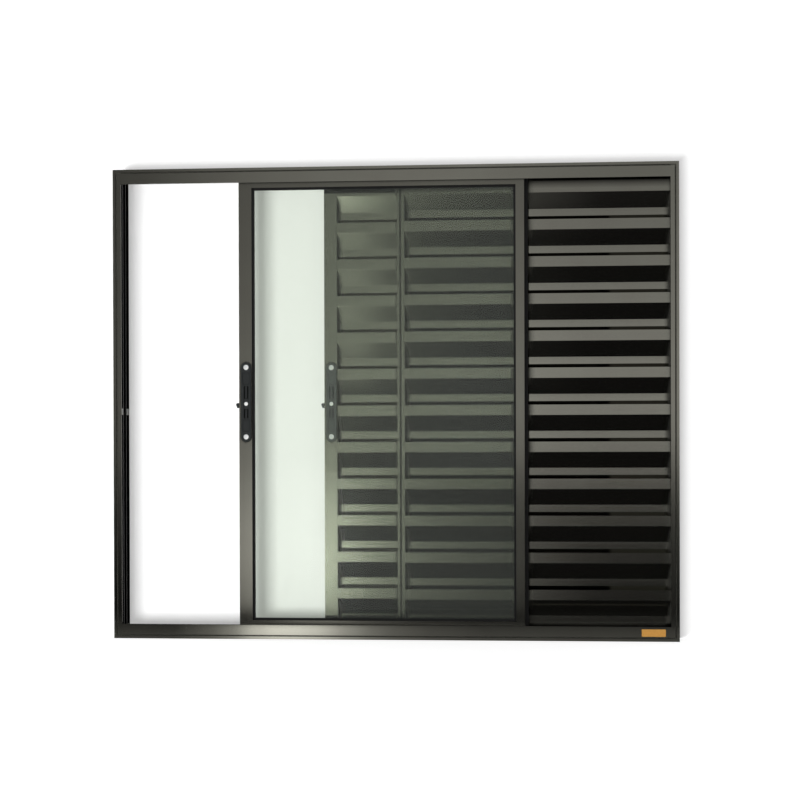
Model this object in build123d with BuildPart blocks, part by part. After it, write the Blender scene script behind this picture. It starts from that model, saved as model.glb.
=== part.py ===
from build123d import *
import os

# Louvred shutter window of extruded aluminium, seen from the room side.
# +X runs to the right, +Y out of the room, +Z up. All sizes are millimetres.
# The origin is the middle of the frame's underside.

# Whole frame
width = 1200.0
height = 1000.0
depth = 80.0
wall = 1.6
half = width / 2
front = -depth / 2
back = depth / 2

# Room-side flange: an outer lip, a shadow groove and a flat face set just behind the lip
lip = 5.8
lip_depth = 3.2
groove = 3.0
groove_depth = 2.2
groove_end = lip + groove
face_setback = 0.4
jamb_face = 17.5
head_face = 31.5
sill_face = 31.0

# Outer flange and the guide fins between the three tracks
jamb_back = 16.5
head_back = 21.0
sill_back = 20.0
fin = 1.4
jamb_fin = 16.0
head_fin = 25.0
sill_fin = 12.0
rail_fin = 2.0
rail_top = 9.6
notch_clearance = 1.0
drain_length = 32.0
drain_width = 5.0
drain_pitch = 300.0
drain_count = 4
drain_z = 5.5

# The three leaves, from the room outwards
leaf_low = 8.0
leaf_high = 990.0
leaf_gap = 1.6
glass_depth = 20.0
louvre_depth = 22.0
glass_y = front + lip_depth + 0.2
fin_one = glass_y + glass_depth + leaf_gap
fixed_y = fin_one + fin + leaf_gap
fin_two = fixed_y + louvre_depth + leaf_gap
shutter_y = fin_two + fin + leaf_gap

# Leaf members
leaf_width = 606.0
lock_stile = 27.5
stile_recess = 7.0
hook_slot_length = 24.0
hook_slot_width = 5.0
meeting_stile = 18.0
fixed_stile = 15.5
face_groove_left = 4.9
face_groove_right = 9.1
jamb_stile = 14.5
leaf_wall = 1.4
glass_left = -328.3
shutter_left = -152.5
fixed_left = 7.1
fixed_right = half - wall - 1.0
glass_rail_low = 40.0
glass_rail_high = 957.3
roller_room = 22.0

# Glazing
pane = 4.0
pocket = 9.0
pocket_depth = 8.0
gasket_sight = 4.6
gasket_bite = 7.4
pane_bite = 6.0

# Louvre blades: room-side lip, sloping web, outer lip and drip
blade_count = 12
blade_pitch = 78.0
blade_top = 963.5
blade_wall = 1.0
blade_bend = 1.4
blade_setback = 0.3
near_lip = 22.0
web_out = 15.5
web_drop = 33.0
far_lip = 15.5
drip_out = 4.5
drip_drop = 10.5
blade_drop = near_lip + web_drop + far_lip + drip_drop
louvre_low = blade_top - (blade_count - 1) * blade_pitch - blade_drop

# Locks on the two lock stiles
lock_centre = 503.0
lock_length = 169.0
lock_width = 22.0
lock_plate = 2.8
plate_chamfer = 0.9
lock_screws = 147.6
lock_inset = 15.2
case_inset = 13.2
case_width = 9.2
case_length = 86.0
case_depth = 15.0
case_corner = 2.0
case_wall = 1.0
hook_wall = 3.0
hook_reach = 8.3
hook_low = 490.6
hook_high = 501.2
hook_arm = 7.0
hook_beak = 6.3
hook_taper = 2.6
hook_round = 3.6
hook_clearance = 4.0
slider_centre = 499.4
slider_length = 22.0
recess_width = 10.4
recess_length = 68.0
recess_corner = 1.5
recess_floor = 0.6
rib = 3.6
rib_setback = 0.4
rib_gap = 1.0
slider_setback = 0.6
slider_corner = 1.2
slider_clearance = 0.5
thumb_width = 15.0
thumb_length = 25.0
thumb_offset = 50.0
thumb_depth = 0.8
thumb_corner = 1.5
knob_radius = 4.0
knob_height = 0.6
screw_radius = 2.2

# Fixing holes through the jamb webs
fixing_hole = 6.0
fixing_pitch = 600.0
fixing_y = fixed_y + louvre_depth / 2

os.makedirs("parts", exist_ok=True)


def save(piece, name):
    piece.part.label = name
    export_step(piece.part, f"parts/{name}.step")


def strip(left, right, low, high, mode=Mode.ADD):
    with Locations(((left + right) / 2, (low + high) / 2)):
        Rectangle(right - left, high - low, mode=mode)


# Section of the flat face, with the wall that joins it to the groove; span turns distances from the
# frame's edge into sketch limits. On a jamb's sketch the axes are swapped, so flip puts the span first.
def face_profile(span, face, flip=False):
    def panel(inner, outer, near, far):
        limits = (*span(inner, outer), near, far) if flip else (near, far, *span(inner, outer))
        strip(*limits)

    panel(groove_end, groove_end + wall, front + face_setback, front + lip_depth)
    panel(groove_end + wall, face, front + face_setback, front + face_setback + wall)


# Head and sill: both are open three-track channels
def cross_member(name, low_edge, sign, face, rear, guide):
    def levels(near, far):
        edges = (low_edge + sign * near, low_edge + sign * far)
        return min(edges), max(edges)

    clear = half - jamb_face
    with BuildPart() as member:
        # flat face of the room-side flange, between the jambs
        with BuildSketch(Plane.YZ.offset(-clear)):
            face_profile(levels, face)
        extrude(amount=2 * clear)
        # floor of the groove, between the grooves of the jambs
        with BuildSketch(Plane.YZ.offset(groove_end - half)):
            strip(front + groove_depth, front + lip_depth, *levels(lip, groove_end))
        extrude(amount=2 * (half - groove_end))
        # lip of the flange, mitred into the lips of the jambs
        with BuildSketch(Plane.XZ.offset(-front)):
            edge = low_edge
            inner = low_edge + sign * lip
            with BuildLine():
                Polyline((-half, edge), (half, edge), (half - lip, inner), (lip - half, inner), close=True)
            make_face()
        extrude(amount=-lip_depth)
        # web between the jamb webs
        with BuildSketch(Plane.YZ.offset(wall - half)):
            strip(front + lip_depth, back, *levels(0, wall))
        extrude(amount=2 * (half - wall))
        # outer flange and guide fins
        with BuildSketch(Plane.YZ.offset(jamb_back - half)):
            strip(back - wall, back, *levels(wall, rear))
        extrude(amount=2 * (half - jamb_back))
        with BuildSketch(Plane.YZ.offset(jamb_fin - half)):
            for fin_y in (fin_one, fin_two):
                strip(fin_y, fin_y + fin, *levels(wall, guide))
        extrude(amount=2 * (half - jamb_fin))
        if sign > 0:
            # drain slots through the outer flange
            with BuildSketch(Plane.XZ.offset(-back)):
                with Locations((0, drain_z)):
                    with GridLocations(drain_pitch, 1, drain_count, 1):
                        SlotOverall(drain_length, drain_width)
            extrude(amount=wall, mode=Mode.SUBTRACT)
    save(member, name)


cross_member("frame_head", height, -1, head_face, head_back, head_fin)
cross_member("frame_sill", 0.0, 1, sill_face, sill_back, sill_fin)

# Rails that the leaves stand on: strips seated on the sill's web, one in each track
track_centres = (glass_y + glass_depth / 2, fixed_y + louvre_depth / 2, shutter_y + louvre_depth / 2)
with BuildPart() as rails:
    with BuildSketch(Plane.YZ.offset(jamb_fin - half)):
        for rail_y in track_centres:
            strip(rail_y - rail_fin / 2, rail_y + rail_fin / 2, wall, rail_top)
    extrude(amount=2 * (half - jamb_fin))
save(rails, "sill_rails")


# Jambs: channels that run the full height inside the lips
def jamb(name, side):
    def across(outer, inner):
        edges = (side * (half - outer), side * (half - inner))
        return min(edges), max(edges)

    with BuildPart() as post:
        with BuildSketch(Plane.XY.offset(groove_end)):
            face_profile(across, jamb_face, flip=True)
        extrude(amount=height - 2 * groove_end)
        with BuildSketch(Plane.XY.offset(lip)):
            strip(*across(lip, groove_end), front + groove_depth, front + lip_depth)
        extrude(amount=height - 2 * lip)
        with BuildSketch(Plane.XZ.offset(-front)):
            outer = side * half
            inner = side * (half - lip)
            with BuildLine():
                Polyline((outer, 0), (outer, height), (inner, height - lip), (inner, lip), close=True)
            make_face()
        extrude(amount=-lip_depth)
        with BuildSketch(Plane.XY):
            strip(*across(0, wall), front + lip_depth, back)
        extrude(amount=height)
        with BuildSketch(Plane.XY.offset(wall)):
            strip(*across(wall, jamb_back), back - wall, back)
            for fin_y in (fin_one, fin_two):
                strip(*across(wall, jamb_fin), fin_y, fin_y + fin)
        extrude(amount=height - 2 * wall)
        # fixing holes in the middle track
        with BuildSketch(Plane.YZ.offset(-half if side < 0 else half - wall)):
            with Locations((fixing_y, height / 2)):
                with GridLocations(1, fixing_pitch, 1, 2):
                    Circle(fixing_hole / 2)
        extrude(amount=wall, mode=Mode.SUBTRACT)
    save(post, name)


jamb("frame_left_jamb", -1)
jamb("frame_right_jamb", 1)


# Notch at the foot of a stile, which clears the sill's rail
def rail_notch(middle):
    strip(middle - rail_fin, middle + rail_fin, leaf_low, rail_top + notch_clearance)


# Lock stile: hollow, with its outer side recessed to take the keeper
def lock_side_stile(name, left, near, leaf_depth, glazed):
    right = left + lock_stile
    far = near + leaf_depth
    middle = near + leaf_depth / 2
    with BuildPart() as stile:
        with BuildSketch(Plane.XY.offset(leaf_low)):
            strip(left, right, near, far)
            strip(left, left + stile_recess, near + leaf_wall, far - leaf_wall, mode=Mode.SUBTRACT)
            inner_wall = right - leaf_wall - (pocket_depth if glazed else 0)
            inner_left = left + stile_recess + leaf_wall
            strip(inner_left, inner_wall, near + leaf_wall, far - leaf_wall, mode=Mode.SUBTRACT)
            if glazed:
                strip(right - pocket_depth, right, middle - pocket / 2, middle + pocket / 2, mode=Mode.SUBTRACT)
        extrude(amount=leaf_high - leaf_low)
        # opening for the lock case in the room-side wall
        with BuildSketch(Plane.XZ.offset(-near)):
            with Locations((left + case_inset, lock_centre)):
                RectangleRounded(case_width, case_length, case_corner)
        extrude(amount=-leaf_wall, mode=Mode.SUBTRACT)
        # slot that the hook comes out of
        with BuildSketch(Plane.YZ.offset(left + stile_recess)):
            with Locations((middle, (hook_low + hook_high) / 2)):
                SlotOverall(hook_slot_length, hook_slot_width, rotation=90)
        extrude(amount=leaf_wall, mode=Mode.SUBTRACT)
        with BuildSketch(Plane.YZ.offset(left)):
            rail_notch(middle)
        extrude(amount=lock_stile, mode=Mode.SUBTRACT)
    save(stile, name)


lock_side_stile("glass_lock_stile", glass_left, glass_y, glass_depth, True)
lock_side_stile("shutter_lock_stile", shutter_left, shutter_y, louvre_depth, False)


# Meeting stiles and the fixed leaf's own stiles: plain hollow sections
def plain_stile(name, left, right, near, leaf_depth, glazed=False, face_groove=0.0):
    far = near + leaf_depth
    middle = near + leaf_depth / 2
    with BuildPart() as stile:
        with BuildSketch(Plane.XY.offset(leaf_low)):
            strip(left, right, near, far)
            hollow_left = left + leaf_wall + (pocket_depth if glazed else 0)
            hollow_front = near + leaf_wall + (face_groove if face_groove else 0)
            strip(hollow_left, right - leaf_wall, hollow_front, far - leaf_wall, mode=Mode.SUBTRACT)
            if glazed:
                strip(left, left + pocket_depth, middle - pocket / 2, middle + pocket / 2, mode=Mode.SUBTRACT)
            if face_groove:
                strip(left + face_groove_left, left + face_groove_right, near, near + face_groove, mode=Mode.SUBTRACT)
        extrude(amount=leaf_high - leaf_low)
        with BuildSketch(Plane.YZ.offset(left)):
            rail_notch(middle)
        extrude(amount=right - left, mode=Mode.SUBTRACT)
    save(stile, name)


glass_right = glass_left + leaf_width
shutter_right = shutter_left + leaf_width
plain_stile("glass_meeting_stile", glass_right - meeting_stile, glass_right, glass_y, glass_depth, glazed=True)
plain_stile("shutter_meeting_stile", shutter_right - meeting_stile, shutter_right, shutter_y, louvre_depth)
plain_stile("fixed_meeting_stile", fixed_left, fixed_left + fixed_stile, fixed_y, louvre_depth, face_groove=2.5)
plain_stile("fixed_jamb_stile", fixed_right - jamb_stile, fixed_right, fixed_y, louvre_depth)


# Rails butt between the stiles; the lower ones straddle the sill's rails
def leaf_rail(name, left, right, near, leaf_depth, low, high, legs=0.0, pocket_side=0):
    far = near + leaf_depth
    middle = near + leaf_depth / 2
    hollow_low = low + leaf_wall + legs + (pocket_depth if pocket_side < 0 else 0)
    hollow_high = high - leaf_wall - (pocket_depth if pocket_side > 0 else 0)
    with BuildPart() as rail:
        with BuildSketch(Plane.YZ.offset(left)):
            strip(near, far, low, high)
            if hollow_high - hollow_low > leaf_wall:
                strip(near + leaf_wall, far - leaf_wall, hollow_low, hollow_high, mode=Mode.SUBTRACT)
            if legs:
                strip(near + leaf_wall, far - leaf_wall, low, low + legs, mode=Mode.SUBTRACT)
            if pocket_side > 0:
                strip(middle - pocket / 2, middle + pocket / 2, high - pocket_depth, high, mode=Mode.SUBTRACT)
            if pocket_side < 0:
                strip(middle - pocket / 2, middle + pocket / 2, low, low + pocket_depth, mode=Mode.SUBTRACT)
        extrude(amount=right - left)
    save(rail, name)


glass_in = (glass_left + lock_stile, glass_right - meeting_stile)
shutter_in = (shutter_left + lock_stile, shutter_right - meeting_stile)
fixed_in = (fixed_left + fixed_stile, fixed_right - jamb_stile)
legs_up = roller_room - leaf_low
leaf_rail("glass_bottom_rail", *glass_in, glass_y, glass_depth, leaf_low, glass_rail_low, legs_up, 1)
leaf_rail("glass_top_rail", *glass_in, glass_y, glass_depth, glass_rail_high, leaf_high, 0.0, -1)
for leaf, inside, near in (("fixed", fixed_in, fixed_y), ("shutter", shutter_in, shutter_y)):
    leaf_rail(f"{leaf}_bottom_rail", *inside, near, louvre_depth, leaf_low, louvre_low, legs_up)
    leaf_rail(f"{leaf}_top_rail", *inside, near, louvre_depth, blade_top, leaf_high)


# Louvre blades: one Z-shaped section bent from sheet, seated between the stiles
def blades(name, inside, near):
    left, right = inside
    with BuildPart() as rows:
        for row in range(blade_count):
            top = blade_top - row * blade_pitch
            bends = [(0, 0), (0, near_lip), (web_out, web_drop), (0, far_lip), (drip_out, drip_drop)]
            across, down, corners = near + blade_setback, top, []
            for step_out, step_down in bends:
                across += step_out
                down -= step_down
                corners.append((across, down))
            with BuildSketch(Plane.YZ.offset(left)):
                with BuildLine():
                    bend_line = FilletPolyline(*corners, radius=blade_bend)
                    offset(bend_line, amount=blade_wall, side=Side.LEFT)
                make_face()
            extrude(amount=right - left)
    save(rows, name)


blades("fixed_blades", fixed_in, fixed_y)
blades("shutter_blades", shutter_in, shutter_y)

# Glass pane in its gasket
pane_y = glass_y + glass_depth / 2
sight = (glass_in[0], glass_in[1], glass_rail_low, glass_rail_high)


def grown(amount):
    left, right, low, high = sight
    return left - amount, right + amount, low - amount, high + amount


with BuildPart() as glass_pane:
    with BuildSketch(Plane.XZ.offset(-(pane_y - pane / 2))):
        strip(*grown(pane_bite))
    extrude(amount=-pane)
save(glass_pane, "glass_pane")

with BuildPart() as glass_gasket:
    with BuildSketch(Plane.XZ.offset(-(pane_y - pocket / 2))):
        strip(*grown(gasket_bite))
        strip(*grown(-gasket_sight), mode=Mode.SUBTRACT)
    extrude(amount=-pocket)
    with BuildSketch(Plane.XZ.offset(-(pane_y - pane / 2))):
        strip(*grown(pane_bite))
    extrude(amount=-pane, mode=Mode.SUBTRACT)
save(glass_gasket, "glass_gasket")


# Seal on the back of the glass leaf's meeting stile, which closes on the fixed leaf
seal_wall = 1.4
seal_reach = 6.3
seal_lip = 3.0
seal_inset = 3.0
seal_round = 0.6
seal_gap = 2.0
seal_low = sill_fin + seal_gap
seal_high = height - head_fin - seal_gap
with BuildPart() as glass_seal:
    with BuildSketch(Plane.XY.offset(seal_low)):
        near = glass_y + glass_depth - seal_inset
        strip(glass_right, glass_right + seal_reach, near, near + seal_wall)
        strip(glass_right + seal_reach - seal_wall, glass_right + seal_reach, near, near + seal_inset + seal_lip)
    extrude(amount=seal_high - seal_low)
    fillet(glass_seal.edges().filter_by(Axis.Z).sort_by(Axis.Y)[-2:], seal_round)
save(glass_seal, "glass_interlock_seal")


# Rollers in their housings under the two sliding leaves
wheel_groove = 5.0
wheel_rim = 5.9
wheel_width = 6.0
wheel_notch = 2.6
wheel_clearance = 0.5
wheel_z = rail_top + wheel_groove
pin_radius = 1.5
pin_length = 14.0
housing_length = 44.0
housing_low = leaf_low + 2.2
roller_inset = 70.0
guide_length = 40.0
guide_inset = 30.0
guide_height = 6.0
guide_overhang = 1.0
guide_chamfer = 2.0


def rollers(leaf, inside, near, leaf_depth):
    middle = near + leaf_depth / 2
    places = (inside[0] + roller_inset, inside[1] - roller_inset)
    with BuildPart() as wheels:
        for x in places:
            with BuildSketch(Plane.XZ.offset(-(middle - wheel_width / 2))):
                with Locations((x, wheel_z)):
                    Circle(wheel_rim)
            extrude(amount=-wheel_width)
            with BuildSketch(Plane.XZ.offset(-(middle - wheel_notch / 2))):
                with Locations((x, wheel_z)):
                    Circle(wheel_rim)
                    Circle(wheel_groove, mode=Mode.SUBTRACT)
            extrude(amount=-wheel_notch, mode=Mode.SUBTRACT)
            with BuildSketch(Plane.XZ.offset(-(middle - pin_length / 2))):
                with Locations((x, wheel_z)):
                    Circle(pin_radius)
            extrude(amount=-pin_length)
    save(wheels, f"{leaf}_rollers")
    with BuildPart() as housings:
        for x in places:
            inner = leaf_depth - 2 * leaf_wall
            with BuildSketch(Plane.XZ.offset(-(middle - inner / 2))):
                strip(x - housing_length / 2, x + housing_length / 2, housing_low, roller_room)
            extrude(amount=-inner)
            well = wheel_rim + wheel_clearance
            well_width = wheel_width + 2 * wheel_clearance
            with BuildSketch(Plane.XZ.offset(-(middle - well_width / 2))):
                strip(x - well, x + well, leaf_low, wheel_z + well)
            extrude(amount=-well_width, mode=Mode.SUBTRACT)
            with BuildSketch(Plane.XZ.offset(-(middle - pin_length / 2))):
                with Locations((x, wheel_z)):
                    Circle(pin_radius)
            extrude(amount=-pin_length, mode=Mode.SUBTRACT)
    save(housings, f"{leaf}_roller_housings")
    with BuildPart() as guides:
        for x in (inside[0] + guide_inset, inside[1] - guide_inset):
            with BuildSketch(Plane.XY.offset(leaf_high)):
                strip(x - guide_length / 2, x + guide_length / 2, near, near + leaf_depth + guide_overhang)
            extrude(amount=guide_height)
            chamfer(guides.edges().filter_by(Axis.Y).group_by(Axis.Z)[-1], guide_chamfer)
    save(guides, f"{leaf}_top_guides")


rollers("glass", glass_in, glass_y, glass_depth)
rollers("shutter", shutter_in, shutter_y, louvre_depth)

# Blocks that carry the fixed leaf, each grooved to sit astride the rail
block_length = 40.0
block_lap = 1.4
block_groove = rail_fin + 0.2
with BuildPart() as blocks:
    middle = fixed_y + louvre_depth / 2
    for x in (fixed_in[0] + roller_inset, fixed_in[1] - roller_inset):
        with BuildSketch(Plane.YZ.offset(x - block_length / 2)):
            inner = louvre_depth / 2 - leaf_wall
            strip(middle - inner, middle + inner, rail_top - block_lap, roller_room)
            groove_half = block_groove / 2
            strip(middle - groove_half, middle + groove_half, rail_top - block_lap, rail_top, mode=Mode.SUBTRACT)
        extrude(amount=block_length)
save(blocks, "fixed_leaf_blocks")


# Lock: a plate with a recess, its case inside the stile, a slider, a knob and a hook
def lock(leaf, left, near, leaf_depth):
    x = left + lock_inset
    case_x = left + case_inset
    hook_root = case_x + case_width / 2 - case_wall
    face = near - lock_plate
    with BuildPart() as body:
        with BuildSketch(Plane.XZ.offset(-face)):
            with Locations((x, lock_centre)):
                SlotOverall(lock_length, lock_width, rotation=90)
        extrude(amount=-lock_plate)
        chamfer(body.faces().sort_by(Axis.Y)[0].edges(), plate_chamfer)
        with BuildSketch(Plane.XZ.offset(-face)):
            with Locations((x, lock_centre)):
                RectangleRounded(recess_width, recess_length, recess_corner)
        extrude(amount=recess_floor - lock_plate, mode=Mode.SUBTRACT)
        # rib down the middle of the recess, above and below the slider
        with BuildSketch(Plane.XZ.offset(-(face + rib_setback))):
            slider_half = slider_length / 2 + rib_gap
            recess_half = recess_length / 2
            strip(x - rib / 2, x + rib / 2, lock_centre - recess_half, slider_centre - slider_half)
            strip(x - rib / 2, x + rib / 2, slider_centre + slider_half, lock_centre + recess_half)
        extrude(amount=rib_setback + recess_floor - lock_plate)
        # shallow thumb panels above and below the recess
        with BuildSketch(Plane.XZ.offset(-face)):
            with Locations((x, lock_centre - thumb_offset), (x, lock_centre + thumb_offset)):
                RectangleRounded(thumb_width, thumb_length, thumb_corner)
        extrude(amount=-thumb_depth, mode=Mode.SUBTRACT)
        # hollow case behind the plate
        with BuildSketch(Plane.XZ.offset(-near)):
            with Locations((case_x, lock_centre)):
                RectangleRounded(case_width, case_length, case_corner)
        extrude(amount=-case_depth)
        with BuildSketch(Plane.XZ.offset(-(near + leaf_depth / 2 - hook_wall / 2))):
            strip(case_x - case_width / 2, hook_root, hook_low - hook_clearance, hook_high + hook_clearance)
        extrude(amount=-hook_wall, mode=Mode.SUBTRACT)
        # screw holes
        for z in (lock_centre - lock_screws / 2, lock_centre + lock_screws / 2):
            with Locations(Plane.XZ.offset(-face) * Pos(x, z, 0)):
                Hole(screw_radius, depth=lock_plate)
    save(body, f"{leaf}_lock_body")
    with BuildPart() as slider:
        with BuildSketch(Plane.XZ.offset(-(face + slider_setback))):
            with Locations((x, slider_centre)):
                RectangleRounded(recess_width - 2 * slider_clearance, slider_length, slider_corner)
        extrude(amount=slider_setback + recess_floor - lock_plate)
    save(slider, f"{leaf}_lock_slider")
    with BuildPart() as knob:
        with BuildSketch(Plane.XZ.offset(-face)):
            with Locations((x, slider_centre)):
                Circle(knob_radius)
        extrude(amount=-knob_height)
    save(knob, f"{leaf}_lock_knob")
    with BuildPart() as hook:
        with BuildSketch(Plane.XZ.offset(-(near + leaf_depth / 2 - hook_wall / 2))):
            tip = left - hook_reach
            bend = tip + hook_round
            turn = hook_round * (1 - 0.5 ** 0.5)
            with BuildLine():
                Line((hook_root, hook_high), (bend, hook_high))
                ThreePointArc((bend, hook_high), (tip + turn, hook_high - turn), (tip, hook_high - hook_round))
                Polyline(
                    (tip, hook_high - hook_round), (tip + hook_taper, hook_low), (tip + hook_beak, hook_low),
                    (tip + hook_beak, hook_high - hook_arm), (hook_root, hook_high - hook_arm), (hook_root, hook_high),
                )
            make_face()
        extrude(amount=-hook_wall)
    save(hook, f"{leaf}_lock_hook")


lock("glass", glass_left, glass_y, glass_depth)
lock("shutter", shutter_left, shutter_y, louvre_depth)


# Keepers in the left jamb, each with a slot that the hook catches in
keeper_width = 8.0
keeper_low = 477.5
keeper_high = 490.5
keeper_reach = 15.5
keeper_floor = 6.0
keeper_slot_width = 4.0
keeper_slot_low = 481.0
keeper_slot_high = 487.0


def keeper(name, centre_y):
    floor = wall - half
    with BuildPart() as block:
        with BuildSketch(Plane.YZ.offset(floor)):
            strip(centre_y - keeper_width / 2, centre_y + keeper_width / 2, keeper_low, keeper_high)
        extrude(amount=keeper_reach)
        with BuildSketch(Plane.YZ.offset(floor + keeper_floor)):
            slot_half = keeper_slot_width / 2
            strip(centre_y - slot_half, centre_y + slot_half, keeper_slot_low, keeper_slot_high)
        extrude(amount=keeper_reach, mode=Mode.SUBTRACT)
    save(block, name)


keeper("glass_keeper", track_centres[0])
keeper("shutter_keeper", track_centres[2])
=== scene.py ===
import math
import bmesh
import bpy
from mathutils import Matrix, Vector


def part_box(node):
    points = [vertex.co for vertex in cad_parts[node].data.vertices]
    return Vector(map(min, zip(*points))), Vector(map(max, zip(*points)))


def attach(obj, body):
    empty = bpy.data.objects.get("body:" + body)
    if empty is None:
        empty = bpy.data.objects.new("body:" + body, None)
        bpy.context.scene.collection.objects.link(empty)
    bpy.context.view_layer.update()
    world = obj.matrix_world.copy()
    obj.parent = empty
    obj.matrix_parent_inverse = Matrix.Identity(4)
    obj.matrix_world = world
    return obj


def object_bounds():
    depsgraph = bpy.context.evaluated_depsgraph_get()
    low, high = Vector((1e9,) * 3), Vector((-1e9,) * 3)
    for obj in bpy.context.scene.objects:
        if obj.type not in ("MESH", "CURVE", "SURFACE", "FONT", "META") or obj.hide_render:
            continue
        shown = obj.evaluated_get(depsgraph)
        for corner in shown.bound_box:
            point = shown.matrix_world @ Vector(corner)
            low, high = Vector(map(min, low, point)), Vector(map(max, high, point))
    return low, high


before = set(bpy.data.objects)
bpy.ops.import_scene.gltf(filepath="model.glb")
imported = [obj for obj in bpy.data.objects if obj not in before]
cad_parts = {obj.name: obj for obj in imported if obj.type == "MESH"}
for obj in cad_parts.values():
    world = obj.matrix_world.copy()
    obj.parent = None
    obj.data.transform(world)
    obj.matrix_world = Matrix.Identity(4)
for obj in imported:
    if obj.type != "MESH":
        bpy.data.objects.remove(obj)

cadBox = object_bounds()
scene = bpy.context.scene
frameLow, frameHigh = (Vector(corner) for corner in cadBox)
print("frame loaded", len(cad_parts), "nodes")


def mm(value):
    return value / 1000.0


def linear(hexColour, alpha=1.0):
    channels = [int(hexColour[i:i + 2], 16) / 255 for i in (0, 2, 4)]
    curve = [c / 12.92 if c <= 0.04045 else ((c + 0.055) / 1.055) ** 2.4 for c in channels]
    return (*curve, alpha)


def addNode(material, kind, settings=None, inputs=None, links=None):
    # links: input name or number -> (node, output name or number)
    tree = material.node_tree
    node = tree.nodes.new(kind)
    for key, value in (settings or {}).items():
        setattr(node, key, value)
    for key, value in (inputs or {}).items():
        node.inputs[key].default_value = value
    for key, (source, output) in (links or {}).items():
        tree.links.new(source.outputs[output], node.inputs[key])
    return node


def newMaterial(name):
    material = bpy.data.materials.new(name)
    material.use_nodes = True
    material.node_tree.nodes.clear()
    return material


def finishMaterial(material, shader, output="BSDF"):
    addNode(material, "ShaderNodeOutputMaterial", links={"Surface": (shader, output)})
    return material


scene.view_settings.view_transform = "Standard"

# Camera: the photograph's viewpoint, 5 m in front of the right jamb and turned to the left
camera = {
    "place": (0.5572, -5.0335, 0.4192),  # m
    "yaw": 6.545,  # degrees, to the left
    "pitch": -0.429,
    "roll": -0.157,
    "lens": 107.28,
    "sensor": 36.0,
    "shift": (0.0183, 0.0739),  # a view camera's small rise, which keeps the jambs upright
}


def buildCamera(c):
    yaw, pitch, roll = (math.radians(c[k]) for k in ("yaw", "pitch", "roll"))
    forward = Vector((-math.sin(yaw) * math.cos(pitch), math.cos(yaw) * math.cos(pitch), math.sin(pitch)))
    level = Vector((math.cos(yaw), math.sin(yaw), 0))
    upright = level.cross(forward)
    right = math.cos(roll) * level + math.sin(roll) * upright
    up = right.cross(forward)
    turn = Matrix((right, up, -forward)).transposed().to_4x4()
    data = bpy.data.cameras.new("camera")
    data.lens = c["lens"]
    data.sensor_width = c["sensor"]
    data.shift_x, data.shift_y = c["shift"]
    data.clip_end = 50
    item = bpy.data.objects.new("camera", data)
    item.matrix_world = Matrix.Translation(c["place"]) @ turn
    scene.collection.objects.link(item)
    scene.camera = item


buildCamera(camera)
print("camera placed")


# Dark bronze anodised aluminium: extruded, so fine die lines run along each length,
# and sealed, so it mirrors what stands in front of it. Painted shade darkens and dulls it in its grooves and inner
# corners.
anodised = {
    "colour": "7b7b72",
    "streak": "75736b",
    "roughness": 0.11,
    "roughnessSpread": 0.03,
    "dieLinePitch": 0.9,  # mm, drawn coarser than the real 0.1 mm lines so that they show
    "dieLineStretch": 0.02,  # how much slower the lines change along the length
    "dieLineDepth": 0.02,  # mm
    "dieLineStrength": 0.12,
    "clouding": 60.0,  # mm, tone drift of the anodic bath
    # colour of the painted shade in corners and grooves
    "paintedShade": "0a0a09",
    "paintedShadeRoughness": 0.75,
    "paintedShadeReach": 20.0,  # mm from a corner
    "ownCornersOnly": False,  # whether only a piece's own corners get painted shade
    "dust": 0.003,  # thin film all over, as a share of the surface
    "sillDust": 0.13,  # and on the sill, where rain splashes it
    "splashHeight": 80.0,  # mm
    "paintedShadeSpan": (0.48, 0.94),  # openness of a place, from where painted shade covers it fully to where there is none
    "paintedMattSpan": (0.55, 0.75),  # and from where the painted shade hides the metal to where it shows
    "underHeadShadeFrom": 2000.0,  # mm, the height from which painted shade darkens a piece
    "underHeadShadeTo": 2001.0,
    "underHeadShadeLeft": 0.1,  # share of the unshaded tone left at its darkest
    "trackShadeLeft": 0.04,  # and in the jambs' tracks
}


def roughnessFrom(material, grain, middle, spread):
    return addNode(material, "ShaderNodeMapRange", inputs={"To Min": middle - spread, "To Max": middle + spread},
                   links={"Value": (grain, "Fac")})


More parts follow.
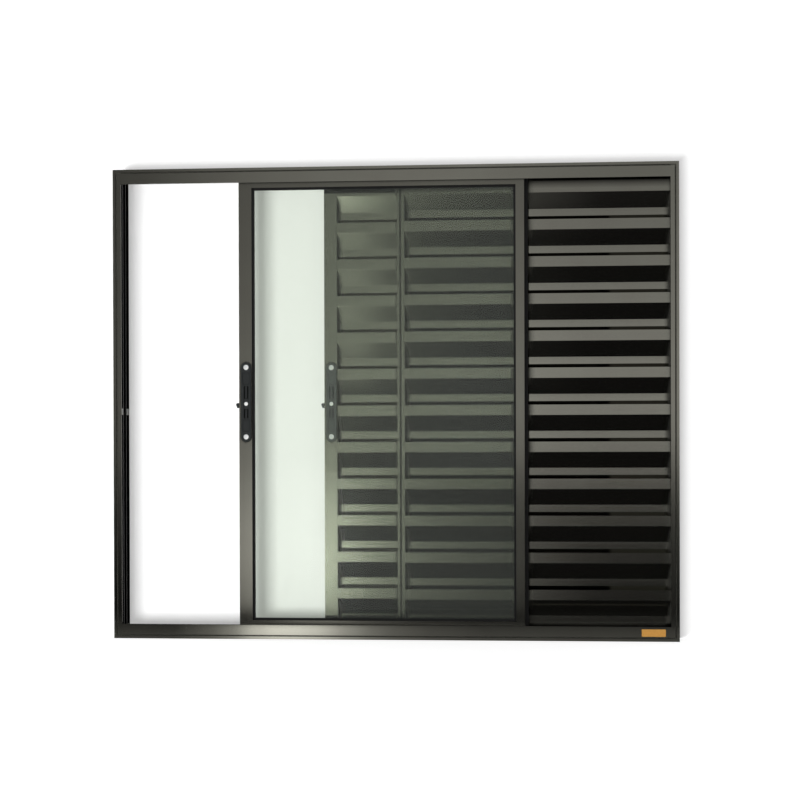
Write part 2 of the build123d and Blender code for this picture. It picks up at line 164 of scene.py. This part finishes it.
def anodisedAluminium(name, along, a):
    m = newMaterial(name)
    place = addNode(m, "ShaderNodeTexCoord")
    stretch = [1.0, 1.0, 1.0]
    stretch["XYZ".index(along)] = a["dieLineStretch"]
    mapped = addNode(m, "ShaderNodeMapping", inputs={"Scale": stretch}, links={"Vector": (place, "Object")})
    lines = addNode(m, "ShaderNodeTexNoise", inputs={"Scale": 1 / mm(a["dieLinePitch"]), "Detail": 3.0},
                    links={"Vector": (mapped, "Vector")})
    cloud = addNode(m, "ShaderNodeTexNoise", inputs={"Scale": 1 / mm(a["clouding"]), "Detail": 2.0},
                    links={"Vector": (place, "Object")})
    tone = addNode(m, "ShaderNodeMixRGB", inputs={"Color1": linear(a["colour"]), "Color2": linear(a["streak"])},
                   links={"Fac": (cloud, "Fac")})
    rough = roughnessFrom(m, lines, a["roughness"], a["roughnessSpread"])
    bump = addNode(m, "ShaderNodeBump", inputs={"Strength": a["dieLineStrength"], "Distance": mm(a["dieLineDepth"])},
                   links={"Height": (lines, "Fac")})
    # painted shade: near corners the colour goes dark, rough and non-metallic
    corners = addNode(m, "ShaderNodeAmbientOcclusion", {"samples": 8, "only_local": a["ownCornersOnly"]},
                      inputs={"Distance": mm(a["paintedShadeReach"])})
    unshaded = addNode(m, "ShaderNodeMapRange", inputs={"From Min": a["paintedShadeSpan"][0], "From Max": a["paintedShadeSpan"][1]},
                    links={"Value": (corners, "AO")})
    parts = addNode(m, "ShaderNodeSeparateXYZ", links={0: (place, "Object")})
    # painted shade: darker from a given height upwards, as under the head
    underHeadShade = addNode(m, "ShaderNodeMapRange", inputs={
        "From Min": mm(a["underHeadShadeFrom"]), "From Max": mm(a["underHeadShadeTo"]), "To Min": 1.0, "To Max": a["underHeadShadeLeft"]},
                   links={"Value": (parts, "Z")})
    kept = addNode(m, "ShaderNodeMath", {"operation": "MULTIPLY"}, links={0: (unshaded, "Result"), 1: (underHeadShade, "Result")})
    # painted shade: the jambs' tracks painted nearly black by position
    if "tracks" in a:
        middle, half, end = (mm(size) for size in a["tracks"])
        between = addNode(m, "ShaderNodeMath", {"operation": "COMPARE"}, inputs={1: middle, 2: half},
                          links={0: (parts, "Y")})
        inside = addNode(m, "ShaderNodeMath", {"operation": "COMPARE"}, inputs={1: 0.0, 2: end},
                         links={0: (parts, "X")})
        track = addNode(m, "ShaderNodeMath", {"operation": "MULTIPLY"},
                        links={0: (between, "Value"), 1: (inside, "Value")})
        black = addNode(m, "ShaderNodeMapRange", inputs={"To Min": 1.0, "To Max": a["trackShadeLeft"]},
                        links={"Value": (track, "Value")})
        kept = addNode(m, "ShaderNodeMath", {"operation": "MULTIPLY"}, links={0: (kept, "Value"), 1: (black, "Result")})
    colour = addNode(m, "ShaderNodeMixRGB", inputs={"Color1": linear(a["paintedShade"])},
                     links={"Fac": (kept, "Value"), "Color2": (tone, "Color")})
    dulled = addNode(m, "ShaderNodeMapRange", inputs={"To Min": a["paintedShadeRoughness"]}, links={
        "Value": (unshaded, "Result"), "To Max": (rough, "Result")})
    splash = addNode(m, "ShaderNodeMapRange", {"interpolation_type": "SMOOTHERSTEP"}, inputs={
        "From Min": -mm(a["splashHeight"]), "From Max": mm(a["splashHeight"]), "To Min": 1 - 2 * a["sillDust"],
        "To Max": 1 - a["dust"]}, links={"Value": (parts, "Z")})
    shinyShare = addNode(m, "ShaderNodeMapRange", inputs={"From Min": a["paintedMattSpan"][0], "From Max": a["paintedMattSpan"][1]},
                      links={"Value": (corners, "AO")})
    bare = addNode(m, "ShaderNodeMath", {"operation": "MULTIPLY"},
                   links={0: (shinyShare, "Result"), 1: (splash, "Result")})
    shader = addNode(m, "ShaderNodeBsdfPrincipled", inputs={"Specular IOR Level": 0.0}, links={  # the dust and the painted shade have no shine
        "Base Color": (colour, "Color"), "Metallic": (bare, "Value"), "Roughness": (dulled, "Result"),
        "Normal": (bump, "Normal")})
    return finishMaterial(m, shader)


# Float glass: faintly green, with the room mirrored weakly in it
glassPane = {
    "tint": "d8ded5",
    "roughness": 0.0,
    "ior": 1.17,  # below plain glass's 1.5, for the mirror image that the photograph shows
    "clearness": 0.989,  # the rest is a film of dust that catches the light
}


def floatGlass(g):
    m = newMaterial("floatGlass")
    shader = addNode(m, "ShaderNodeBsdfPrincipled", inputs={
        "Base Color": linear(g["tint"]), "Roughness": g["roughness"], "IOR": g["ior"],
        "Transmission Weight": g["clearness"]})
    return finishMaterial(m, shader)


# Black EPDM rubber and flocked pile: almost no shine
rubber = {"colour": "0d0d0d", "roughness": 0.7, "grain": 0.6}
# Pale nylon of rollers, guides and keepers: moulded, satin
paleNylon = {"colour": "a9aaa6", "roughness": 0.45, "grain": 0.5}
# Black nylon of the locks and their hooks: moulded, with a fine spark-eroded grain
lockPlastic = {
    "colour": "202222",
    "roughness": 0.40,
    "grain": 0.35,  # mm
    # painted shade darkens and dulls the slots and recesses
    "hollow": 6.0,  # mm
    "hollowColour": "040404",
    "hollowRoughness": 0.95,
    "hollowOpenness": (0.62, 0.9),  # from full painted shade to none
    "shine": 0.2,
}
# Zinc-plated steel of knobs and screws: bright, with a whitish bloom
zincSteel = {"colour": "dedfde", "roughness": 0.3, "roughnessSpread": 0.06, "grain": 0.8, "bareness": 0.6}
grainBump = (0.15, 0.03)  # strength, and depth in mm


def mouldedPolymer(name, p):
    m = newMaterial(name)
    place = addNode(m, "ShaderNodeTexCoord")
    grain = addNode(m, "ShaderNodeTexNoise", inputs={"Scale": 1 / mm(p["grain"]), "Detail": 3.0},
                    links={"Vector": (place, "Object")})
    bump = addNode(m, "ShaderNodeBump", inputs={"Strength": grainBump[0], "Distance": mm(grainBump[1])},
                   links={"Height": (grain, "Fac")})
    inputs = {"Base Color": linear(p["colour"]), "Roughness": p["roughness"]}
    links = {"Normal": (bump, "Normal")}
    if "hollow" in p:
        low, high = p["hollowOpenness"]
        # painted shade in the slots, found by ambient occlusion
        corners = addNode(m, "ShaderNodeAmbientOcclusion", {"samples": 8}, inputs={"Distance": mm(p["hollow"])})
        unshaded = addNode(m, "ShaderNodeMapRange", inputs={"From Min": low, "From Max": high},
                        links={"Value": (corners, "AO")})
        colour = addNode(m, "ShaderNodeMixRGB", inputs={
            "Color1": linear(p["hollowColour"]), "Color2": linear(p["colour"])}, links={"Fac": (unshaded, "Result")})
        rough = addNode(m, "ShaderNodeMapRange", inputs={"To Min": p["hollowRoughness"], "To Max": p["roughness"]},
                        links={"Value": (unshaded, "Result")})
        inputs["Specular IOR Level"] = p["shine"]
        links.update({"Base Color": (colour, "Color"), "Roughness": (rough, "Result")})
    return finishMaterial(m, addNode(m, "ShaderNodeBsdfPrincipled", inputs=inputs, links=links))


def platedSteel(name, p):
    m = newMaterial(name)
    place = addNode(m, "ShaderNodeTexCoord")
    grain = addNode(m, "ShaderNodeTexNoise", inputs={"Scale": 1 / mm(p["grain"]), "Detail": 2.0},
                    links={"Vector": (place, "Object")})
    rough = roughnessFrom(m, grain, p["roughness"], p["roughnessSpread"])
    shader = addNode(m, "ShaderNodeBsdfPrincipled", inputs={
        "Base Color": linear(p["colour"]), "Metallic": p["bareness"]}, links={"Roughness": (rough, "Result")})
    return finishMaterial(m, shader)


alongX = anodisedAluminium("anodisedAluminiumAlongX", "X", anodised)
alongZ = anodisedAluminium("anodisedAluminiumAlongZ", "Z", anodised)
# the wall behind the frame adds no painted shade to it
frameShade = dict(anodised, ownCornersOnly=True)
frameAlongX = anodisedAluminium("frameAnodisedAluminiumAlongX", "X", frameShade)
# the jambs' tracks are painted nearly black as shade: their middle and half width in depth, and half the frame's width,
# mm
trackShade = dict(frameShade, tracks=(1.1, 38.1, 599.3))
jambAlongZ = anodisedAluminium("jambAnodisedAluminiumAlongZ", "Z", trackShade)
# painted shade on the louvres just below the head
underHead = dict(anodised, paintedShadeReach=16.0, underHeadShadeFrom=950.0, underHeadShadeTo=967.0)
louvreAlongX = anodisedAluminium("shadedUnderHeadAnodisedAluminiumAlongX", "X", underHead)
# lit and shaded copies of the same anodised colour: the sliding shutter painted lighter, and the glass leaf painted
# darker
paintedLighter = dict(anodised, paintedShadeReach=12.0, colour="87877d", streak="807e75")
shutterAlongX = anodisedAluminium("paintedLighterAnodisedAluminiumAlongX", "X", paintedLighter)
shutterAlongZ = anodisedAluminium("paintedLighterAnodisedAluminiumAlongZ", "Z", paintedLighter)
paintedDarker = dict(anodised, colour="67675f", streak="626059")
leafAlongX = anodisedAluminium("paintedDarkerAnodisedAluminiumAlongX", "X", paintedDarker)
leafAlongZ = anodisedAluminium("paintedDarkerAnodisedAluminiumAlongZ", "Z", paintedDarker)
glassMaterial = floatGlass(glassPane)
rubberMaterial = mouldedPolymer("epdmRubber", rubber)
lockMaterial = mouldedPolymer("mouldedBlackNylon", lockPlastic)
paintedLighterLock = dict(lockPlastic, colour="404341")  # a lit copy of the same black nylon: the shutter's lock behind the glass, painted lighter
paintedLighterLockMaterial = mouldedPolymer("paintedLighterBlackNylon", paintedLighterLock)
nylonMaterial = mouldedPolymer("mouldedPaleNylon", paleNylon)
steelMaterial = platedSteel("zincPlatedSteel", zincSteel)


def materialOf(node):
    if node == "glass_pane":
        return glassMaterial
    if node in ("glass_gasket", "glass_interlock_seal"):
        return rubberMaterial
    if node.endswith(("lock_body", "lock_slider", "lock_hook")):
        return paintedLighterLockMaterial if node.startswith("shutter") else lockMaterial
    if node.endswith("lock_knob"):
        return steelMaterial
    if node.endswith(("keeper", "rollers", "housings", "guides", "blocks")):
        return nylonMaterial
    upright = node.endswith(("jamb", "stile"))
    if node.startswith("glass"):
        return leafAlongZ if upright else leafAlongX
    if node.startswith("shutter"):
        return shutterAlongZ if upright else shutterAlongX
    if node.startswith("frame"):
        return jambAlongZ if upright else frameAlongX
    if node.endswith(("top_rail", "blades")):
        return louvreAlongX
    return alongZ if upright else alongX


for name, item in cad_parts.items():
    item.data.materials.clear()
    item.data.materials.append(materialOf(name))
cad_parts["glass_pane"].visible_shadow = False  # clear glass lets the lamps' light through
print("materials set")


# Screws that hold the lock plates: zinc-plated raised heads, each with a cross recess
screws = {
    "locks": ("glass_lock_body", "shutter_lock_body"),
    "offset": 73.8,  # mm above and below the middle of the plate
    "head": 5.4,
    # across (share of the head's radius) and out from the plate, mm
    "profile": ((0.0, 0.52), (0.35, 0.5), (0.7, 0.36), (0.93, 0.12), (1.0, 0.0), (0.9, -0.35), (0.45, -1.6),
                (0.0, -1.6)),
    "facets": 40,  # round the head
    "crossReach": 2.3,
    "crossWidth": 0.9,
    "crossDepth": 1.0,
    "crossTaper": 0.7,  # its foot, as a share of its mouth
    "turns": (24, 71, 52, 8),  # degrees, as each was driven home
}


def screwHead(c):
    head = bmesh.new()
    points = [head.verts.new((mm(c["head"] * across), 0, mm(out))) for across, out in c["profile"]]
    edges = [head.edges.new(pair) for pair in zip(points, points[1:])]
    bmesh.ops.spin(head, geom=points + edges, axis=(0, 0, 1), cent=(0, 0, 0), angle=math.tau, steps=c["facets"],
                   use_merge=True)
    bmesh.ops.remove_doubles(head, verts=head.verts, dist=mm(0.01))
    bmesh.ops.recalc_face_normals(head, faces=head.faces)
    top = c["profile"][0][1]
    bars = []
    for size in ((c["crossReach"], c["crossWidth"]), (c["crossWidth"], c["crossReach"])):
        bar = bmesh.new()
        corners = bmesh.ops.create_cube(bar, size=2)["verts"]
        bmesh.ops.scale(bar, vec=(mm(size[0]), mm(size[1]), mm(c["crossDepth"])), verts=corners)
        foot = [v for v in corners if v.co.z < 0]
        bmesh.ops.scale(bar, vec=(c["crossTaper"], c["crossTaper"], 1), verts=foot)
        bmesh.ops.translate(bar, vec=(0, 0, mm(top)), verts=corners)
        bars.append(bar)
    return cut(head, bars)


def cut(solid, cutters):
    # takes the cutters out of the solid and gives back one mesh
    items = []
    for shape in [solid] + cutters:
        mesh = bpy.data.meshes.new("shape")
        shape.to_mesh(mesh)
        shape.free()
        item = bpy.data.objects.new("shape", mesh)
        scene.collection.objects.link(item)
        items.append(item)
    for cutter in items[1:]:
        step = items[0].modifiers.new("cut", "BOOLEAN")
        step.object = cutter
        step.solver = "EXACT"
    result = bpy.data.meshes.new_from_object(items[0].evaluated_get(bpy.context.evaluated_depsgraph_get()))
    for item in items:
        bpy.data.objects.remove(item)
    return result


def addPiece(name, shape, materials, smooth=None):
    mesh = bpy.data.meshes.new(name)
    shape.to_mesh(mesh)
    shape.free()
    mesh.materials.clear()
    for material in materials:
        mesh.materials.append(material)
    if smooth is not None:
        mesh.shade_smooth()
        mesh.set_sharp_from_angle(angle=math.radians(smooth))
    item = bpy.data.objects.new(name, mesh)
    scene.collection.objects.link(item)
    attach(item, "root")
    return item


def buildScrews(c):
    single = screwHead(c)
    heads = bmesh.new()
    turns = iter(c["turns"])
    toRoom = Matrix.Rotation(math.radians(90), 4, "X")  # the head's axis turns to face the room
    for lock in c["locks"]:
        low, high = (Vector(corner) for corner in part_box(lock))
        for side in (-1, 1):
            place = Vector(((low.x + high.x) / 2, low.y, (low.z + high.z) / 2 + side * mm(c["offset"])))
            head = bmesh.new()
            head.from_mesh(single)
            spot = Matrix.Translation(place) @ toRoom @ Matrix.Rotation(math.radians(next(turns)), 4, "Z")
            bmesh.ops.transform(head, matrix=spot, verts=head.verts)
            copy = bpy.data.meshes.new("head")
            head.to_mesh(copy)
            head.free()
            heads.from_mesh(copy)
    addPiece("lockScrews", heads, [steelMaterial], smooth=35)


buildScrews(screws)

# Bare label plate on the sill: gilt rim and amber lacquered field, left blank
labelPlate = {
    "left": 521.0,
    "right": 571.0,
    "low": 10.4,
    "high": 25.8,
    "thick": 0.35,
    "setback": 0.4,  # mm, from the sill's foremost lip back to its flat face
    "proud": 0.38,  # mm, how far its face stands in front of that
    "corner": 1.2,
    "rim": 1.3,
    "rimDepth": 0.1,
    "rimColour": "d9a558",
    "rimRoughness": 0.35,
    "fieldColour": "b8701c",
    "fieldRoughness": 0.4,
    "roughnessSpread": 0.08,
    "wear": "d8c8b0",  # what handling has done to the lacquer
    "wearGrain": 3.0,
    "bareness": 0.35,
}


# Gilded brass: lacquered, so it shines softly and unevenly
def gildedBrass(name, colour, roughness, c):
    m = newMaterial(name)
    place = addNode(m, "ShaderNodeTexCoord")
    grain = addNode(m, "ShaderNodeTexNoise", inputs={"Scale": 1 / mm(c["wearGrain"]), "Detail": 3.0},
                    links={"Vector": (place, "Object")})
    worn = addNode(m, "ShaderNodeMixRGB", {"blend_type": "MULTIPLY"}, inputs={
        "Color1": linear(colour), "Color2": linear(c["wear"])}, links={"Fac": (grain, "Fac")})
    rough = roughnessFrom(m, grain, roughness, c["roughnessSpread"])
    shader = addNode(m, "ShaderNodeBsdfPrincipled", inputs={"Metallic": c["bareness"]}, links={
        "Base Color": (worn, "Color"), "Roughness": (rough, "Result")})
    return finishMaterial(m, shader)


def buildLabelPlate(c):
    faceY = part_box("frame_sill")[0][1] + mm(c["setback"] - c["proud"])
    shape = bmesh.new()
    corners = ((c["left"], c["low"]), (c["right"], c["low"]), (c["right"], c["high"]), (c["left"], c["high"]))
    plate = shape.faces.new([shape.verts.new((mm(x), faceY, mm(z))) for x, z in corners])
    bmesh.ops.bevel(shape, geom=plate.verts[:], offset=mm(c["corner"]), segments=5, profile=0.5, affect="VERTICES",
                    material=-1)
    field = shape.faces[:][0]
    bmesh.ops.inset_region(shape, faces=[field], thickness=mm(c["rim"]), depth=-mm(c["rimDepth"]))
    outline = [e for e in shape.edges if e.is_boundary]
    skirt = bmesh.ops.extrude_edge_only(shape, edges=outline)["geom"]
    back = [v for v in skirt if isinstance(v, bmesh.types.BMVert)]
    bmesh.ops.translate(shape, vec=(0, mm(c["thick"]), 0), verts=back)
    bmesh.ops.holes_fill(shape, edges=[e for e in shape.edges if e.is_boundary], sides=0)
    bmesh.ops.recalc_face_normals(shape, faces=shape.faces)
    field.material_index = 1
    finishes = [gildedBrass("gildedBrassRim", c["rimColour"], c["rimRoughness"], c),
                gildedBrass("amberLacquer", c["fieldColour"], c["fieldRoughness"], c)]
    addPiece("labelPlate", shape, finishes)


buildLabelPlate(labelPlate)
print("small pieces made")


# Studio: a white floor, a white wall close behind, and soft light from all round
studio = {
    "wallGap": 0.012,  # m
    "wallFoot": -0.5,
    "wallSize": 9.0,
    "floorGap": 0.0005,
    "groundPaint": "c4c4c4",
    "wallGlow": 0.34,
    # painted light on the wall past the right edge and the top, lifting the frame's shadow there: axis, from and to in
    # m, and how much
    "wallPaintedLight": (("X", 0.598, 0.622, 0.47), ("Z", 1.006, 1.022, 0.28)),
    "floorGlow": 0.8,
    "worldStrength": 0.9,
    # tone of the surroundings by compass direction, from the left (0) to the right (1)
    "roundabout": ((0.0, 0.42), (0.26, 0.17), (0.30, 0.36), (0.325, 0.75), (0.37, 0.9), (0.42, 1.05), (0.47, 0.74),
                   (0.51, 0.80), (1.0, 0.70)),
    # and how it fades with height, from the horizon (0) to overhead (1)
    "upwards": ((0.0, 1.45), (0.02, 1.45), (0.05, 1.15), (0.085, 0.95), (0.13, 0.72), (0.3, 0.72), (1.0, 0.9)),
}


def whiteGround(name, s, glow, paintedLight=()):
    # pale paint that takes a shadow, with a glow of its own for the eye, for mirrors and through glass, and painted
    # light added by place where given
    m = newMaterial(name)
    paint = addNode(m, "ShaderNodeBsdfDiffuse", inputs={"Color": linear(s["groundPaint"])})
    rays = addNode(m, "ShaderNodeLightPath")
    eyeOrMirror = addNode(m, "ShaderNodeMath", {"operation": "MAXIMUM"}, links={
        0: (rays, "Is Camera Ray"), 1: (rays, "Is Glossy Ray")})
    seen = addNode(m, "ShaderNodeMath", {"operation": "MAXIMUM"}, links={
        0: (eyeOrMirror, "Value"), 1: (rays, "Is Transmission Ray")})
    level = addNode(m, "ShaderNodeValue")
    level.outputs[0].default_value = glow
    place = addNode(m, "ShaderNodeSeparateXYZ", links={0: (addNode(m, "ShaderNodeTexCoord"), "Object")})
    # painted light: the glow rises across each given band
    for axis, start, end, extra in paintedLight:
        more = addNode(m, "ShaderNodeMapRange", inputs={
            "From Min": start, "From Max": end, "To Min": glow, "To Max": glow + extra}, links={"Value": (place, axis)})
        level = addNode(m, "ShaderNodeMath", {"operation": "MAXIMUM"}, links={0: (level, 0), 1: (more, "Result")})
    strength = addNode(m, "ShaderNodeMath", {"operation": "MULTIPLY"}, links={0: (seen, "Value"), 1: (level, 0)})
    white = addNode(m, "ShaderNodeEmission", inputs={"Color": (1, 1, 1, 1)}, links={"Strength": (strength, "Value")})
    lit = addNode(m, "ShaderNodeAddShader", links={0: (paint, "BSDF"), 1: (white, "Emission")})
    side = addNode(m, "ShaderNodeNewGeometry")
    clear = addNode(m, "ShaderNodeBsdfTransparent")  # from behind, so that the object's back can be seen
    mixed = addNode(m, "ShaderNodeMixShader",
                    links={"Fac": (side, "Backfacing"), 1: (lit, "Shader"), 2: (clear, "BSDF")})
    return finishMaterial(m, mixed, "Shader")


def stagePlane(name, corners, material):
    shape = bmesh.new()
    shape.faces.new([shape.verts.new(c) for c in corners])
    mesh = bpy.data.meshes.new(name)
    shape.to_mesh(mesh)
    shape.free()
    mesh.materials.append(material)
    item = bpy.data.objects.new(name, mesh)
    scene.collection.objects.link(item)
    return item


reach = studio["wallSize"]
foot = studio["wallFoot"]
wallY = frameHigh.y + studio["wallGap"]
floorZ = frameLow.z - studio["floorGap"]
floorPaint = whiteGround("whiteFloorPaint", studio, studio["floorGlow"])
wallPaint = whiteGround("whiteWallPaint", studio, studio["wallGlow"], studio["wallPaintedLight"])
floor = stagePlane("floor", [(-reach, -reach, floorZ), (reach, -reach, floorZ), (reach, reach, floorZ),
                             (-reach, reach, floorZ)], floorPaint)
floor.visible_shadow = False  # the low softbox stands below it and shines up through it
stagePlane("backWall", [(-reach, wallY, foot), (reach, wallY, foot), (reach, wallY, reach), (-reach, wallY, reach)],
           wallPaint)

# A black sheet on the floor in front, seen only in mirrors: a painted dark reflection that darkens the undersides
# of the blades and the foot of the frame. One streak across it is a painted reflection of light, drawn as a glow of its
# own.
farReflectionSheet = {
    # across the streak: place at the window, m, and its light
    "across": ((-6.0, 0.0), (-0.46, 0.0), (-0.34, 0.95), (-0.24, 2.0), (-0.17, 3.7), (-0.11, 2.3), (-0.05, 1.1),
               (0.06, 0.55), (0.2, 0.27), (0.42, 0.02), (8.0, 0.0)),
    # along it: distance from the window, m, the share of that light, the sheet's own dark tone, and its height, m
    "along": ((0.9, 0.8, 0.01, 0.0002), (1.4, 1.0, 0.015, 0.0002), (3.5, 1.5, 0.022, 0.0002),
              (12.0, 1.2, 0.035, 0.0002), (30.0, 0.6, 0.05, 0.0002)),
}
# close by, the painted reflection rises from just above the sill, so only what stands higher mirrors it
nearReflectionSheet = {
    "across": ((-6.0, 0.0), (-0.3, 0.0), (-0.2, 1.2), (-0.13, 1.5), (-0.06, 0.6), (0.03, 0.2), (0.16, 0.04),
               (0.4, 0.0), (8.0, 0.0)),
    "along": ((0.01, 0.0, 0.01, 0.0328), (0.42, 0.15, 0.01, 0.0012), (0.55, 0.8, 0.01, 0.0004),
              (0.9, 0.8, 0.01, 0.0002)),
}
# and a painted reflection of the same streak for the sill, laid on the floor below it
sillReflectionSheet = {
    "across": ((-6.0, 0.0), (-0.46, 0.0), (-0.38, 0.45), (-0.33, 1.2), (-0.3, 2.6), (-0.25, 3.8), (-0.2, 3.7),
               (-0.15, 2.9), (-0.1, 1.5), (-0.05, 0.77), (0.0, 0.42), (0.08, 0.2), (0.2, 0.08), (8.0, 0.0)),
    "along": ((0.04, 0.7, 0.01, 0.0002), (0.2, 0.9, 0.01, 0.0002), (0.42, 1.15, 0.01, 0.0002),
              (0.6, 1.15, 0.01, 0.0001)),
}
mirrorEye = (0.557, 5.07)  # m, the place behind the wall that the streak's edges run towards


# painted reflection: a dark sheet with a glowing streak, seen only after a mirror bounce
def reflectionSheetMaterial():
    m = newMaterial("paintedReflectionSheet")
    tone = addNode(m, "ShaderNodeAttribute", {"attribute_name": "glow"})
    paintedReflection = addNode(m, "ShaderNodeEmission", links={"Strength": (tone, "Fac")})
    clear = addNode(m, "ShaderNodeBsdfTransparent")
    rays = addNode(m, "ShaderNodeLightPath")
    mirrored = addNode(m, "ShaderNodeMath", {"operation": "GREATER_THAN"}, inputs={1: 0.5},
                       links={0: (rays, "Glossy Depth")})
    mixed = addNode(m, "ShaderNodeMixShader",
                    links={"Fac": (mirrored, "Value"), 1: (clear, "BSDF"), 2: (paintedReflection, "Emission")})
    return finishMaterial(m, mixed, "Shader")


def layReflectionSheet(name, c, material):
    columns, rows = c["across"], c["along"]
    shape = bmesh.new()
    glow = shape.verts.layers.float.new("glow")
    lastColumn, lastRow = len(columns) - 1, len(rows) - 1
    grid = bmesh.ops.create_grid(shape, x_segments=lastColumn, y_segments=lastRow, size=1)["verts"]
    eyeX, eyeAway = mirrorEye
    for v in grid:
        x, light = columns[round((v.co.x + 1) / 2 * lastColumn)]
        away, share, tone, height = rows[round((1 - v.co.y) / 2 * lastRow)]
        # painted reflection: the sheet's dark tone plus the streak's glow
        v[glow] = tone + light * share
        v.co = (x + (x - eyeX) * away / eyeAway, -away, floorZ + height)
    mesh = bpy.data.meshes.new(name)
    shape.to_mesh(mesh)
    shape.free()
    mesh.materials.append(material)
    item = bpy.data.objects.new(name, mesh)
    scene.collection.objects.link(item)
    item.visible_camera = False
    item.visible_diffuse = False
    item.visible_shadow = False


paintedReflection = reflectionSheetMaterial()
layReflectionSheet("farReflectionSheet", farReflectionSheet, paintedReflection)
layReflectionSheet("nearReflectionSheet", nearReflectionSheet, paintedReflection)
layReflectionSheet("sillReflectionSheet", sillReflectionSheet, paintedReflection)

world = bpy.data.worlds.new("studioLight")
scene.world = world
world.use_nodes = True
world.node_tree.nodes.clear()
direction = addNode(world, "ShaderNodeTexCoord")
parts = addNode(world, "ShaderNodeSeparateXYZ", links={0: (direction, "Generated")})
across = addNode(world, "ShaderNodeMapRange", inputs={"From Min": -0.5, "From Max": 0.5},
                 links={"Value": (parts, "X")})


def toneRamp(steps, value, output):
    node = addNode(world, "ShaderNodeValToRGB", links={"Fac": (value, output)})
    ramp = node.color_ramp
    ramp.interpolation = "EASE"
    while len(ramp.elements) < len(steps):
        ramp.elements.new(1.0)
    for element, (place, _) in zip(ramp.elements, steps):
        element.position = place
    for element, (_, tone) in zip(ramp.elements, steps):
        element.color = (tone, tone, tone, 1)
    return node


acrossTone = toneRamp(studio["roundabout"], across, "Result")
upTone = toneRamp(studio["upwards"], parts, "Z")
skyTone = addNode(world, "ShaderNodeMixRGB", {"blend_type": "MULTIPLY"}, inputs={"Fac": 1.0},
                  links={"Color1": (acrossTone, "Color"), "Color2": (upTone, "Color")})
sky = addNode(world, "ShaderNodeBackground", inputs={"Strength": studio["worldStrength"]},
              links={"Color": (skyTone, "Color")})
addNode(world, "ShaderNodeOutputWorld", links={"Surface": (sky, "Background")})


# Softbox below the floor at the left: it lights the wall and the dust, and is kept out of the mirrors
lowLeftSoftbox = {
    "place": (-1.25, -4.0, -0.35),
    "target": (0.0, 0.0, 0.5),
    "size": (1.5, 1.1),
    "power": 210,
}


def hangSoftbox(name, c):
    data = bpy.data.lights.new(name, "AREA")
    data.shape = "RECTANGLE"
    data.size, data.size_y = c["size"]
    data.energy = c["power"]
    item = bpy.data.objects.new(name, data)
    aim = Vector(c["target"]) - Vector(c["place"])
    item.matrix_world = Matrix.Translation(c["place"]) @ aim.to_track_quat("-Z", "Y").to_matrix().to_4x4()
    item.visible_camera = False
    item.visible_glossy = False
    item.visible_transmission = False
    scene.collection.objects.link(item)


hangSoftbox("lowLeftSoftbox", lowLeftSoftbox)
print("studio lit")
